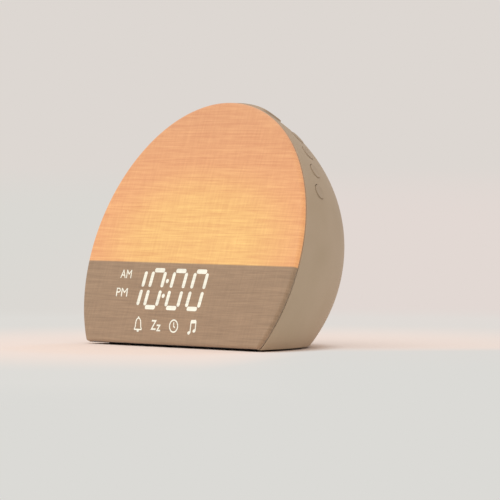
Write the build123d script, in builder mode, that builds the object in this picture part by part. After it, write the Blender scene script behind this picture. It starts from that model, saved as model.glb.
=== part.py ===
from build123d import *
from math import asin, cos, degrees, pi, radians, sin, sqrt, tan
import os

os.makedirs("parts", exist_ok=True)

# A bedside sunrise alarm clock: an egg-shaped shell cut flat by a leaning cloth front and by its base.
# All sizes are millimetres and degrees. The origin is on the table, in the middle of the resting pad.
# "Depth" is measured behind the plane of the shell's front rim, and "up" along the leaning front.

# Overall form
EGG_HALF_WIDTH = 86.4       # across, where the egg is fattest
EGG_HALF_LENGTH = 97.6      # along its long axis, front to back
EGG_RISE = 7.7              # the long axis climbs by this angle towards the rear
EGG_HEIGHT = 49.8           # the egg's centre above the shell's lower edge
FACE_LEAN = 17.67           # the front leans back by this angle
FACE_CUT = 18.2             # the front plane lies this far behind the egg's centre
FRONT_Y = -38.0             # the front plane meets the shell's lower edge here
FOOT_HEIGHT = 1.0           # the shell clears the table by this much
WALL = 2.5                  # shell thickness
RIM_ROUND = 0.5             # softened outer edge of the shell's front rim

# Cloth-covered front panel, which stands proud of the rim
PANEL_PROUD = 2.8           # cloth face ahead of the rim
PANEL_INSET = 0.4           # panel edge inside the shell's outer surface
PANEL_EDGE = 2.0            # rounding round the front edge
PANEL_CORNER = 4.4          # rounding of the two lower corners
SEAM = 0.5                  # shadow gap between panel and rim
CLOTH = 0.6                 # cloth with its glued backing
CLOTH_FIT = 0.05            # glue line under the cloth
FRAME_LIP = 1.6             # frame outside the panes
PANE = 1.2                  # thickness of the diffuser and of the display window
PANE_FIT = 0.2              # clearance round each pane
RING_WALL = 1.2             # rear ring of the frame
FRAME_BACK = 4.4            # depth of the frame's back, where it meets the light box
INNER_FIT = 1.9             # from the shell's wall to the frame's ring and the light box
DIVIDER_UP = 44.5           # height up the front where the lit area begins
DIVIDER = 2.4               # height of the bar under it
HOOK = (7.0, 1.2, 0.7)      # snap hook: width, thickness, barb
HOOK_FIT = 0.3              # clearance round a hook in its slot
HOOK_ANGLES = (-97, -45, 45, 97)

# Light box, a white tray that closes the front and holds lamp and display
BOX_WALL = 1.6
TUB_INSET = 17.0            # lamp chamber's side wall inside the shell's outer surface
TUB_DEPTH = 36.0            # depth of the lamp chamber's back
BOX_SCREW_INSET = 10.0
BOX_SCREW_ANGLES = (-112, -75, 75, 112)
BOSS_LENGTH = 12.0
BOSS_RADIUS = 3.2
RIB = 2.0                   # thickness of the rib from a boss to the wall

# Lamp
LED_BOARD = (104.0, 12.0, 1.2)
LED_BOARD_DEPTH = 18.0      # its middle line behind the rim
LED_BOARD_SCREW = 4.0       # screw in from the board's end
LED = (5.0, 5.0, 1.4)
LED_COUNT = 10
LED_PITCH = 8.6

# Display
BLOCK_LEFT, BLOCK_RIGHT = -57.8, 22.8
BLOCK_LOW, BLOCK_HIGH = 5.8, 41.7
BLOCK_FRONT = -0.3
BLOCK_NOTCH = 1.8           # frame and light box are cut away this far below the block
BLOCK_FIT = 0.4
DIGIT_CENTRES = (-38.9, -22.8, -5.3, 11.6)
DIGIT_LOW, DIGIT_HIGH = 19.8, 40.3          # middle lines of the bottom and top bars
DIGIT_WIDTH = 9.9           # between the middle lines of the upright bars
SEGMENT = 2.1               # width of a bar
SEGMENT_GAP = 0.85          # from a bar's end to the middle line of the next bar
DIGIT_SLANT = 3.0
COLON_AT = -14.5
COLON_UP = (26.3, 34.5)
COLON_RADIUS = 1.1
ICON_CENTRES = (-29.2, -14.6, 0.0, 15.1)
ICON_UP = 10.1
ICON = (8.0, 7.4)
HALFDAY_AT = -50.0
HALFDAY_UP = (27.7, 37.7)
HALFDAY = (8.6, 5.4)
INSERT_ROUND = 0.6
WELL_FIT = 0.05             # clearance of a light insert in its well
INSERT_DEPTH = 3.0
CHIP = (1.6, 0.8, 0.5)      # display light-emitting chip
BOARD = 1.6                 # thickness of every rigid circuit board
BOARD_MARGIN = 5.0          # display board past the block's ends
BOARD_RAISE = 0.6           # display board's lower edge above the block's
DISPLAY_SCREW_UP = 5.0      # display screws in from the block's lower and upper edges

# Side buttons
BUTTON_DEPTH = 13.4
BUTTON_FROM_PAD = 14.1      # angle round the arch from the snooze pad's end to the highest button
BUTTON_PITCH = 9.2
BUTTON_COUNT = 4
BUTTON_RADIUS = 4.0
BUTTON_PROUD = 0.4
BUTTON_DISH = (3.3, 0.35)   # radius and depth of the finger hollow
BUTTON_EDGE = 0.35
BUTTON_LIP = 0.6            # retaining flange past the cap
BUTTON_FIT = 0.3            # round the cap in its hole
FLANGE = 1.0
FLANGE_GAP = 0.4            # under the wall
PLUNGER_RADIUS = 1.6

# Switches
SWITCH = (6.0, 6.0, 3.2)
SWITCH_WELL = (2.0, 1.6)    # radius and depth
SWITCH_TOP = 5.4            # below the shell's outer surface
PLUNGER_LAP = 0.3           # plunger tip inside the switch at rest
FLEX = 0.25
FLEX_MARGIN = 0.6           # from the flex's edge to the posts
CARRIER = 1.8
CARRIER_NEAR, CARRIER_FAR = 8.0, 24.0
CARRIER_MARGIN = 4.5        # degrees past the outer buttons
POST_DEPTH = 20.0           # where a post meets its carrier
POST_RADIUS = 2.4

# Snooze pad
PAD_NEAR, PAD_FAR = 3.0, 17.0
PAD_LENGTH = 50.0
PAD_CORNER = 2.6
PAD_PROUD = 1.4
PAD_EDGE = 0.5
PAD_FIT = 0.3
PAD_NECK = (7.5, 5.4, 0.3)  # neck under the pad: in from its ends, from its front edge and from its rear edge
PAD_LIP = (10.5, 1.8)       # retaining lip: in from the pad's ends, and reach past its rear edge
PAD_PLUNGER_Y = 4.5
PAD_SWITCH_TOP = 8.0        # below the pad's middle
PAD_BOARD = (5.0, 12.0)     # board under the pad: in from the pad's ends, and width
PAD_BOARD_Y = 5.5
PAD_POST = 4.0              # post in from the board's end
PAD_PLUNGER_IN = 7.5        # plunger in from the post
PAD_POST_RADIUS = 2.6

# Base
BASE_PLATE = 3.0
BASE_FIT = 0.4
BASE_FRONT = 0.4            # front edge of the plate behind the rim plane
PAD_RECESS = 0.6            # resting pad sunk into the plate
FOOT_INSET = 6.9
FOOT_FRONT = 6.0
FOOT_FIT = 0.2
BASE_SCREW_EDGE = 14.0
BASE_SCREW_Y = (-16.0, 12.0)
BASE_BOSS_TOP = 17.0

# Screws: head radius, head height, shank radius, length
BIG_SCREW = (2.7, 1.3, 1.2, 9.0)
SMALL_SCREW = (2.0, 1.2, 0.9, 4.5)
SHORT_SCREW = (2.0, 1.2, 0.9, 2.8)
PILOT_FIT = 0.05
PASS_FIT = 0.4
HEAD_FIT = 0.3

# Power socket in its well at the rear
SOCKET_LIFT = 6.5           # axis above the main board
SOCKET = (9.0, 14.0, 11.0)
NOSE_RADIUS = 4.0
SOCKET_BORE = (2.9, 9.0)
SOCKET_PIN = (1.0, 8.0)
WELL_RADIUS = 7.0
WELL_WALL = 1.6
WELL_DEPTH = 8.0
SOCKET_FIT = 0.3

# Main board on the base plate
BOARD_DEPTH = 44.0
BOARD_CLEARANCE = 6.0
BOARD_LIFT = 4.0
STANDOFF_RADIUS = 2.6
STANDOFF_EDGE = 4.5
SOCKET_LAP = 6.0
CHIPS = ((12.0, 2.0, 12.0, 12.0, 1.6), (11.0, 15.0, 8.0, 5.0, 1.6), (22.0, 16.0, 4.0, 6.0, 3.2))
CELL = (10.0, 3.2)
CELL_AT = (-14.0, 14.0)
CELL_CUP = (11.6, 4.4, 1.0) # outer radius, height, floor
CELL_FIT = 0.1

# Speaker behind a drilled patch of the rear wall
SPEAKER_Z = 54.0
SPEAKER_STANDOFF = 6.5      # speaker's front ahead of the wall
SPEAKER_RADIUS = 23.0
SPEAKER_RING = (16.0, 17.6) # ring on the shell, inner and outer radius
SPEAKER_FLANGE = 1.2
SPEAKER_LEDGE = (0.8, 15.0) # seat of the cone's rim: depth and inner radius
GASKET = 0.8
BASKET_DEPTH = 13.0
BASKET_END = 12.0
BASKET_WALL = 1.0
CONE = (16.2, 14.2, 5.4, 7.0)               # rim, inner rim, cap radius, depth
CONE_WALL = 0.4
MAGNET = (14.0, 6.0)
SPEAKER_POST = (20.2, 2.2)  # distance from the axis, and radius
GRILLE_PITCH = 3.4
GRILLE_RINGS = 4
GRILLE_HOLE = 0.8

lean = radians(FACE_LEAN)
face = Plane(origin=(0, FRONT_Y, FOOT_HEIGHT), x_dir=(1, 0, 0), z_dir=(0, -cos(lean), sin(lean)))
forward = Axis(face.origin, face.z_dir)
centre_up = (EGG_HEIGHT - FACE_CUT * sin(lean)) / cos(lean)
rise = radians(EGG_RISE)
egg_plane = Plane(
    origin=face.from_local_coords((0, centre_up, FACE_CUT)),
    x_dir=(0, cos(rise), sin(rise)),
    z_dir=(1, 0, 0),
)


def egg(inset):
    """The whole egg, shrunk by inset all round."""
    radii = (EGG_HALF_LENGTH - inset, EGG_HALF_WIDTH - inset)
    with BuildPart() as body:
        with BuildSketch(egg_plane):
            with BuildLine():
                arc = EllipticalCenterArc((0, 0), *radii, start_angle=180, arc_size=180)
                Line(arc @ 1, arc @ 0)
            make_face()
        revolve(axis=Axis(egg_plane.origin, egg_plane.x_dir))
    return body.part


def up_plane(up):
    """Plane square to the front, at a height up the front, facing up."""
    return Plane(origin=face.from_local_coords((0, up, 0)), x_dir=(1, 0, 0), z_dir=face.y_dir)


def egg_slice(inset, near, far=None, low=None, high=None, floor=None, ceiling=None):
    """The shrunk egg between two depths, two heights up the front, and two heights above the table."""
    whole = egg(inset)
    with BuildPart() as piece:
        add(whole)
        split(bisect_by=face.offset(-near), keep=Keep.BOTTOM)
        split(bisect_by=Plane.XY.offset(FOOT_HEIGHT + inset if floor is None else floor), keep=Keep.TOP)
        if far is not None:
            split(bisect_by=face.offset(-far), keep=Keep.TOP)
        if low is not None:
            split(bisect_by=up_plane(low), keep=Keep.TOP)
        if high is not None:
            split(bisect_by=up_plane(high), keep=Keep.BOTTOM)
        if ceiling is not None:
            split(bisect_by=Plane.XY.offset(ceiling), keep=Keep.BOTTOM)
    return piece.part


def face_block(across, up, depth):
    """A block between two places across, up and behind the front."""
    with BuildPart() as block:
        with BuildSketch(face.offset(-depth[0])):
            with Locations(((across[0] + across[1]) / 2, (up[0] + up[1]) / 2)):
                Rectangle(across[1] - across[0], up[1] - up[0])
        extrude(amount=depth[0] - depth[1])
    return block.part


def surface_plane(start, towards, inset=0.0):
    """Plane on the egg where a line from inside leaves it: z outwards, x towards the rear."""
    radii = (EGG_HALF_LENGTH - inset, EGG_HALF_WIDTH - inset, EGG_HALF_WIDTH - inset)
    begin = egg_plane.to_local_coords(start)
    step = egg_plane.to_local_coords(start + towards) - begin
    begin_scaled = Vector(*(value / radius for value, radius in zip(begin, radii)))
    step_scaled = Vector(*(value / radius for value, radius in zip(step, radii)))
    square = step_scaled.dot(step_scaled)
    mixed = begin_scaled.dot(step_scaled)
    reach = (sqrt(mixed**2 - square * (begin_scaled.dot(begin_scaled) - 1)) - mixed) / square
    spot = begin + step * reach
    slope = Vector(*(value / radius**2 for value, radius in zip(spot, radii)))
    outwards = (egg_plane.from_local_coords(slope) - egg_plane.origin).normalized()
    back = face.z_dir * -1
    back = (back - outwards * back.dot(outwards)).normalized()
    return Plane(origin=egg_plane.from_local_coords(spot), x_dir=back, z_dir=outwards)


def arch_plane(angle, depth, inset=0.0):
    """Surface plane at an angle from straight up round the arch, at a depth behind the rim."""
    start = face.from_local_coords((0, centre_up, -depth))
    towards = face.x_dir * sin(radians(angle)) + face.y_dir * cos(radians(angle))
    return surface_plane(start, towards, inset)


def arch_spot(angle, depth, inset):
    """Place on the front at an angle round the arch, turned so that its y points outwards."""
    spot = face.to_local_coords(arch_plane(angle, depth, inset).origin)
    return Location((spot.X, spot.Y, 0), (0, 0, -angle))


def half_width(y, z):
    """Half the egg's width at a place along the table and a height."""
    return surface_plane(Vector(0, y, z), Vector(1, 0, 0)).origin.X


def wedge(low_angle, high_angle, near, far):
    """A wedge of the arch between two angles and two depths."""
    reach = 2 * EGG_HALF_WIDTH
    points = [(reach * sin(radians(angle)), centre_up + reach * cos(radians(angle)))
              for angle in (low_angle, high_angle)]
    with BuildPart() as piece:
        with BuildSketch(face.offset(-near)):
            with BuildLine():
                Polyline((0, centre_up), *points, close=True)
            make_face()
        extrude(amount=near - far)
    return piece.part


def screws(seats, sizes):
    """Cross-head screws, each seated under its head on a plane that faces away from the shank."""
    head_radius, head_height, shank_radius, length = sizes
    slot = (head_radius * 1.2, head_radius * 0.3)
    with BuildPart() as group:
        for seat in seats:
            with BuildSketch(seat):
                Circle(head_radius)
            extrude(amount=head_height)
            with BuildSketch(seat):
                Circle(shank_radius)
            extrude(amount=-length)
            with BuildSketch(seat.offset(head_height)):
                Rectangle(*slot)
                Rectangle(*reversed(slot))
            extrude(amount=-head_height / 2, mode=Mode.SUBTRACT)
    return group.part


def save(part, name):
    """Label a finished piece and write it."""
    part.label = name
    export_step(part, f"parts/{name}.step")


# Places that several pieces share
sides = {"right": 1, "left": -1}
rearwards = Vector(0, 1, 0)
box_back = FRAME_BACK + BOX_WALL
box_inset = WALL + INNER_FIT
pane_inset = PANEL_INSET + CLOTH + CLOTH_FIT + FRAME_LIP
pane_front = CLOTH + CLOTH_FIT - PANEL_PROUD
pane_back = pane_front + PANE
bar_low = DIVIDER_UP - DIVIDER
plate_top = FOOT_HEIGHT + BASE_PLATE
board_low = plate_top + BOARD_LIFT
board_top = board_low + BOARD
socket_z = board_top + SOCKET_LIFT
well_floor_y = surface_plane(Vector(0, 0, socket_z), rearwards).origin.Y - WELL_DEPTH
socket_back_y = well_floor_y - WELL_WALL - SOCKET_FIT
board_rear_y = socket_back_y - SOCKET[1] + SOCKET_LAP
board_front_y = board_rear_y - BOARD_DEPTH
board_half = half_width(board_rear_y, board_low) - WALL - BOARD_CLEARANCE
lip_top = WALL + FLANGE_GAP
lip_bottom = lip_top + FLANGE
flex_top = SWITCH_TOP + SWITCH[2]
carrier_top = flex_top + FLEX
carrier_back = carrier_top + CARRIER
pad_plane = Plane(
    origin=arch_plane(0, (PAD_NEAR + PAD_FAR) / 2).origin,
    x_dir=(1, 0, 0),
    z_dir=arch_plane(0, (PAD_NEAR + PAD_FAR) / 2).z_dir,
)
pad_width = PAD_FAR - PAD_NEAR
pad_board_top = -(PAD_SWITCH_TOP + SWITCH[2])
pad_board_length = PAD_LENGTH - 2 * PAD_BOARD[0]
pad_post_x = pad_board_length / 2 - PAD_POST
pad_post_spots = [(side * pad_post_x, PAD_BOARD_Y) for side in (-1, 1)]
pad_plunger_spots = [(side * (pad_post_x - PAD_PLUNGER_IN), PAD_PLUNGER_Y) for side in (-1, 1)]
rear_plane = Plane(origin=(0, 0, 0), x_dir=(-1, 0, 0), z_dir=(0, 1, 0))
speaker_y = surface_plane(Vector(0, 0, SPEAKER_Z), rearwards, WALL).origin.Y - SPEAKER_STANDOFF
speaker_plane = Plane(origin=(0, speaker_y, SPEAKER_Z), x_dir=(0, 1, 0), z_dir=(1, 0, 0))
speaker_spots = [
    (SPEAKER_POST[0] * cos(radians(turn)), SPEAKER_Z + SPEAKER_POST[0] * sin(radians(turn)))
    for turn in (45, 135, 225, 315)
]
hook_spots = [arch_spot(angle, FRAME_BACK, box_inset + RING_WALL / 2) for angle in HOOK_ANGLES]
box_screw_spots = [arch_spot(angle, FRAME_BACK, BOX_SCREW_INSET) for angle in BOX_SCREW_ANGLES]
base_screw_spots = [
    (side * (half_width(y, FOOT_HEIGHT) - BASE_SCREW_EDGE), y) for y in BASE_SCREW_Y for side in (-1, 1)
]
standoff_spots = [
    (side * (board_half - STANDOFF_EDGE), y)
    for y in (board_front_y + STANDOFF_EDGE, board_rear_y - STANDOFF_EDGE)
    for side in (-1, 1)
]
display_screw_spots = [
    (across, up)
    for across in (BLOCK_LEFT - BOARD_MARGIN / 2, BLOCK_RIGHT + BOARD_MARGIN / 2)
    for up in (BLOCK_LOW + DISPLAY_SCREW_UP, BLOCK_HIGH - DISPLAY_SCREW_UP)
]
led_screw_spots = [(side * (LED_BOARD[0] / 2 - LED_BOARD_SCREW), LED_BOARD_DEPTH) for side in (-1, 1)]
arch_radius = face.to_local_coords(pad_plane.origin).Y - centre_up
first_angle = degrees(asin(PAD_LENGTH / 2 / arch_radius)) + BUTTON_FROM_PAD
button_angles = [first_angle + BUTTON_PITCH * step for step in range(BUTTON_COUNT)]
post_planes = {
    name: [
        arch_plane(side * (first_angle + BUTTON_PITCH * (step + 0.5)), POST_DEPTH, carrier_back)
        for step in range(0, BUTTON_COUNT, 2)
    ]
    for name, side in sides.items()
}
shell_core = egg(WALL / 2)


def panel_body(shrink):
    """The front panel, shrunk all round, with its lower corners and front edge rounded."""
    slab = egg_slice(PANEL_INSET + shrink, shrink - PANEL_PROUD, far=2 * PANEL_EDGE)
    with BuildPart() as body:
        add(slab)
        underside = body.faces().filter_by(GeomType.PLANE).sort_by(Axis.Z)[0]
        fillet(underside.edges().sort_by(SortBy.LENGTH)[:2], PANEL_CORNER - shrink)
        fillet(body.faces().filter_by(GeomType.PLANE).sort_by(forward)[-1].edges(), PANEL_EDGE - shrink)
        split(bisect_by=face.offset(SEAM), keep=Keep.TOP)
    return body.part


panel_outside = panel_body(0)
panel_lining = panel_body(CLOTH)
panel_core = panel_body(CLOTH + CLOTH_FIT)

# Cloth stretched over the front and round its edge
with BuildPart() as front_fabric:
    add(panel_outside)
    add(panel_lining, mode=Mode.SUBTRACT)
save(front_fabric.part, "front_fabric")

# Frame that carries both panes, with snap hooks that hold it in the light box
frame_ring = egg_slice(box_inset, -SEAM, far=FRAME_BACK)
block_room = face_block(
    (BLOCK_LEFT - BLOCK_FIT, BLOCK_RIGHT + BLOCK_FIT), (BLOCK_LOW - BLOCK_NOTCH, bar_low), (-SEAM, box_back)
)
frame_cuts = [
    egg_slice(pane_inset, pane_front, far=pane_back, low=DIVIDER_UP),
    egg_slice(pane_inset, pane_front, far=pane_back, high=bar_low),
    egg_slice(box_inset + RING_WALL, pane_back, far=FRAME_BACK, low=DIVIDER_UP),
    egg_slice(box_inset + RING_WALL, pane_back, far=FRAME_BACK, high=bar_low),
    block_room,
]
hook_width, hook_thick, hook_barb = HOOK
with BuildPart() as front_frame:
    add(panel_core)
    add(frame_ring)
    for cut in frame_cuts:
        add(cut, mode=Mode.SUBTRACT)
    with BuildSketch(face.offset(-FRAME_BACK)):
        with Locations(*hook_spots):
            Rectangle(hook_width, hook_thick)
    extrude(amount=-(BOX_WALL + 2 * hook_barb))
    with BuildSketch(face.offset(-box_back)):
        for spot in hook_spots:
            with Locations(spot * Pos(0, -hook_barb / 2)):
                Rectangle(hook_width, hook_thick + hook_barb)
    extrude(amount=-2 * hook_barb)
save(front_frame.part, "front_frame")

# Opal pane in front of the lamp, and tinted pane in front of the display
pane_edge = pane_inset + PANE_FIT
save(egg_slice(pane_edge, pane_front, far=pane_back, low=DIVIDER_UP + PANE_FIT), "light_diffuser")
save(egg_slice(pane_edge, pane_front, far=pane_back, high=bar_low - PANE_FIT), "display_window")

# White light box: a flange across the whole front, with the lamp chamber behind its upper part
box_flange = egg_slice(box_inset, FRAME_BACK, far=box_back)
tub_outside = egg_slice(TUB_INSET, FRAME_BACK, far=TUB_DEPTH, low=DIVIDER_UP - BOX_WALL)
tub_inside = egg_slice(TUB_INSET + BOX_WALL, FRAME_BACK, far=TUB_DEPTH - BOX_WALL, low=DIVIDER_UP)
with BuildPart() as light_box:
    add(box_flange)
    add(tub_outside)
    with BuildSketch(pad_plane.offset(pad_board_top - BOARD)):
        with Locations(*pad_post_spots):
            Circle(PAD_POST_RADIUS)
    extrude(amount=-TUB_INSET)
    add(tub_inside, mode=Mode.SUBTRACT)
    add(block_room, mode=Mode.SUBTRACT)
    with BuildSketch(pad_plane.offset(pad_board_top - BOARD)):
        with Locations(*pad_post_spots):
            Circle(SMALL_SCREW[2] + PILOT_FIT)
    extrude(amount=-SMALL_SCREW[3], mode=Mode.SUBTRACT)
    with BuildSketch(face.offset(-FRAME_BACK)):
        with Locations(*box_screw_spots):
            Circle(BIG_SCREW[2] + PASS_FIT)
        with Locations(*display_screw_spots):
            Circle(SHORT_SCREW[2] + PILOT_FIT)
        with Locations(*hook_spots):
            Rectangle(hook_width + 2 * HOOK_FIT, hook_thick + 2 * HOOK_FIT)
    extrude(amount=-BOX_WALL, mode=Mode.SUBTRACT)
    with BuildSketch(up_plane(DIVIDER_UP)):
        with Locations(*led_screw_spots):
            Circle(SHORT_SCREW[2] + PILOT_FIT)
    extrude(amount=-BOX_WALL, mode=Mode.SUBTRACT)
save(light_box.part, "light_box")
box_front_plane = face.offset(-FRAME_BACK)
save(screws([Plane(box_front_plane.location * spot) for spot in box_screw_spots], BIG_SCREW), "light_box_screws")

# Lamp: a strip of bright warm chips along the floor of the chamber
led_plane = up_plane(DIVIDER_UP)
with BuildPart() as led_board:
    with BuildSketch(led_plane):
        with Locations((0, LED_BOARD_DEPTH)):
            Rectangle(LED_BOARD[0], LED_BOARD[1])
        with Locations(*led_screw_spots):
            Circle(SHORT_SCREW[2] + PASS_FIT, mode=Mode.SUBTRACT)
    extrude(amount=LED_BOARD[2])
save(led_board.part, "led_board")
with BuildPart() as lamp_leds:
    with BuildSketch(led_plane.offset(LED_BOARD[2])):
        with Locations((0, LED_BOARD_DEPTH)):
            with GridLocations(LED_PITCH, 0, LED_COUNT, 1):
                Rectangle(LED[0], LED[1])
    extrude(amount=LED[2])
save(lamp_leds.part, "lamp_leds")
led_top_plane = led_plane.offset(LED_BOARD[2])
save(screws([Plane(led_top_plane.location * Pos(*spot)) for spot in led_screw_spots], SHORT_SCREW), "led_board_screws")

# Display: a white block whose wells hold clear light inserts, over a board with one chip under each
slant = tan(radians(DIGIT_SLANT))
digit_middle = (DIGIT_LOW + DIGIT_HIGH) / 2
quarter = (DIGIT_HIGH - DIGIT_LOW) / 4
flat_bar = DIGIT_WIDTH - 2 * SEGMENT_GAP
upright_bar = 2 * quarter - 2 * SEGMENT_GAP
bars = []
for digit, centre in enumerate(DIGIT_CENTRES):
    for side in (-1, 1):
        for half in (-1, 1):
            across = centre + side * DIGIT_WIDTH / 2 + half * quarter * slant
            if digit or side > 0:
                bars.append((across, digit_middle + half * quarter, 90 - DIGIT_SLANT, upright_bar))
    for row in (-2, 0, 2):
        if digit:
            bars.append((centre + row * quarter * slant, digit_middle + row * quarter, 0, flat_bar))
dots = [(COLON_AT + (up - digit_middle) * slant, up) for up in COLON_UP]
icons = [(across, ICON_UP, ICON) for across in ICON_CENTRES] + [(HALFDAY_AT, up, HALFDAY) for up in HALFDAY_UP]


def bar_outlines(grow):
    """Outlines of the digit bars and the colon, grown by a clearance."""
    with BuildSketch(face.offset(-BLOCK_FRONT)) as outlines:
        for across, up, turn, length in bars:
            with Locations(Location((across, up, 0), (0, 0, turn))):
                SlotOverall(length + 2 * grow, SEGMENT + 2 * grow)
        with Locations(*dots):
            Circle(COLON_RADIUS + grow)
    return outlines.sketch


def icon_outlines(grow):
    """Outlines of the lit windows of the small signs, grown by a clearance."""
    with BuildSketch(face.offset(-BLOCK_FRONT)) as outlines:
        for across, up, (width, height) in icons:
            with Locations((across, up)):
                RectangleRounded(width + 2 * grow, height + 2 * grow, INSERT_ROUND)
    return outlines.sketch


block_body = face_block((BLOCK_LEFT, BLOCK_RIGHT), (BLOCK_LOW, BLOCK_HIGH), (BLOCK_FRONT, box_back))
with BuildPart() as display_block:
    add(block_body)
    extrude(bar_outlines(WELL_FIT), amount=BLOCK_FRONT - box_back, mode=Mode.SUBTRACT)
    extrude(icon_outlines(WELL_FIT), amount=BLOCK_FRONT - box_back, mode=Mode.SUBTRACT)
save(display_block.part, "display_block")
with BuildPart() as display_segments:
    extrude(bar_outlines(0), amount=-INSERT_DEPTH)
save(display_segments.part, "display_segments")
with BuildPart() as display_signs:
    extrude(icon_outlines(0), amount=-INSERT_DEPTH)
save(display_signs.part, "display_signs")
with BuildPart() as display_chips:
    with BuildSketch(face.offset(-box_back)):
        for across, up, turn, length in bars:
            with Locations(Location((across, up, 0), (0, 0, turn))):
                Rectangle(CHIP[0], CHIP[1])
        with Locations(*dots, *[(across, up) for across, up, size in icons]):
            Rectangle(CHIP[0], CHIP[1])
    extrude(amount=CHIP[2])
save(display_chips.part, "display_chips")
board_body = face_block(
    (BLOCK_LEFT - BOARD_MARGIN, BLOCK_RIGHT + BOARD_MARGIN),
    (BLOCK_LOW + BOARD_RAISE, BLOCK_HIGH),
    (box_back, box_back + BOARD),
)
with BuildPart() as display_board:
    add(board_body)
    with BuildSketch(face.offset(-box_back)):
        with Locations(*display_screw_spots):
            Circle(SHORT_SCREW[2] + PASS_FIT)
    extrude(amount=-BOARD, mode=Mode.SUBTRACT)
save(display_board.part, "display_board")
display_seats = [
    Plane(face.from_local_coords((*spot, -box_back - BOARD)), x_dir=face.x_dir, z_dir=-face.z_dir)
    for spot in display_screw_spots
]
save(screws(display_seats, SHORT_SCREW), "display_board_screws")

# Shell: egg-shaped, open at the front and underneath, with bosses, posts and the speaker's ring inside
shell_outside = egg_slice(0, 0)
shell_hollow = egg(WALL)
carrier_outside = egg(carrier_top)
with BuildPart() as bosses:
    with BuildSketch(face.offset(-box_back)):
        with Locations(*box_screw_spots):
            Circle(BOSS_RADIUS)
        for spot in box_screw_spots:
            with Locations(spot * Pos(0, BOX_SCREW_INSET / 2)):
                Rectangle(RIB, BOX_SCREW_INSET)
    extrude(amount=-BOSS_LENGTH)
    with BuildSketch(Plane.XY.offset(plate_top)):
        with Locations(*base_screw_spots):
            Circle(BOSS_RADIUS)
        for x, y in base_screw_spots:
            with Locations((x + (1 if x > 0 else -1) * BASE_SCREW_EDGE, y)):
                Rectangle(2 * BASE_SCREW_EDGE, RIB)
    extrude(amount=BASE_BOSS_TOP - plate_top)
    add(shell_core, mode=Mode.INTERSECT)
with BuildPart() as posts:
    for plane in post_planes["left"] + post_planes["right"]:
        with BuildSketch(plane):
            Circle(POST_RADIUS)
        extrude(amount=carrier_back)
    add(shell_core, mode=Mode.INTERSECT)
    add(carrier_outside, mode=Mode.SUBTRACT)
with BuildPart() as speaker_mounts:
    with BuildSketch(rear_plane.offset(speaker_y)):
        with Locations(*speaker_spots):
            Circle(SPEAKER_POST[1])
    extrude(amount=2 * SPEAKER_STANDOFF)
    with BuildSketch(rear_plane.offset(speaker_y + GASKET)):
        with Locations((0, SPEAKER_Z)):
            Circle(SPEAKER_RING[1])
            Circle(SPEAKER_RING[0], mode=Mode.SUBTRACT)
    extrude(amount=2 * SPEAKER_STANDOFF)
    with BuildSketch(rear_plane.offset(well_floor_y - WELL_WALL)):
        with Locations((0, socket_z)):
            Circle(WELL_RADIUS + WELL_WALL)
    extrude(amount=2 * WELL_DEPTH)
    add(shell_core, mode=Mode.INTERSECT)
grille_spots = [(0, SPEAKER_Z)] + [
    (ring * GRILLE_PITCH * cos(pi * step / (3 * ring)), SPEAKER_Z + ring * GRILLE_PITCH * sin(pi * step / (3 * ring)))
    for ring in range(1, GRILLE_RINGS + 1)
    for step in range(6 * ring)
]
with BuildPart() as shell:
    add(shell_outside)
    add(shell_hollow, mode=Mode.SUBTRACT)
    rim = shell.faces().filter_by(GeomType.PLANE).sort_by(forward)[-1]
    fillet(rim.edges().sort_by(SortBy.LENGTH)[-1], RIM_ROUND)
    for inner in (bosses, posts, speaker_mounts):
        add(inner.part)
    with BuildSketch(pad_plane.offset(PAD_PROUD)):
        RectangleRounded(PAD_LENGTH + 2 * PAD_FIT, pad_width + 2 * PAD_FIT, PAD_CORNER + PAD_FIT)
    extrude(amount=-PAD_LENGTH / 4, mode=Mode.SUBTRACT)
    for side in sides.values():
        for angle in button_angles:
            with BuildSketch(arch_plane(side * angle, BUTTON_DEPTH, -BUTTON_PROUD)):
                Circle(BUTTON_RADIUS + BUTTON_FIT)
            extrude(amount=-2 * WALL, mode=Mode.SUBTRACT)
    for plane in post_planes["left"] + post_planes["right"]:
        with BuildSketch(plane):
            Circle(SMALL_SCREW[2] + PILOT_FIT)
        extrude(amount=SMALL_SCREW[3], mode=Mode.SUBTRACT)
    with BuildSketch(face.offset(-box_back)):
        with Locations(*box_screw_spots):
            Circle(BIG_SCREW[2] + PILOT_FIT)
    extrude(amount=BOX_WALL - BIG_SCREW[3], mode=Mode.SUBTRACT)
    with BuildSketch(Plane.XY.offset(plate_top)):
        with Locations(*base_screw_spots):
            Circle(BIG_SCREW[2] + PILOT_FIT)
    extrude(amount=BIG_SCREW[3], mode=Mode.SUBTRACT)
    with BuildSketch(rear_plane.offset(speaker_y)):
        with Locations(*speaker_spots):
            Circle(SMALL_SCREW[2] + PILOT_FIT)
    extrude(amount=SMALL_SCREW[3] - SPEAKER_FLANGE, mode=Mode.SUBTRACT)
    with BuildSketch(rear_plane.offset(speaker_y + GASKET)):
        with Locations(*grille_spots):
            Circle(GRILLE_HOLE)
    extrude(amount=3 * SPEAKER_STANDOFF, mode=Mode.SUBTRACT)
    with BuildSketch(rear_plane.offset(well_floor_y)):
        with Locations((0, socket_z)):
            Circle(WELL_RADIUS)
    extrude(amount=2 * WELL_DEPTH, mode=Mode.SUBTRACT)
    with BuildSketch(rear_plane.offset(well_floor_y - WELL_WALL)):
        with Locations((0, socket_z)):
            Circle(NOSE_RADIUS + SOCKET_FIT)
    extrude(amount=WELL_WALL, mode=Mode.SUBTRACT)
save(shell.part, "shell")

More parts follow.
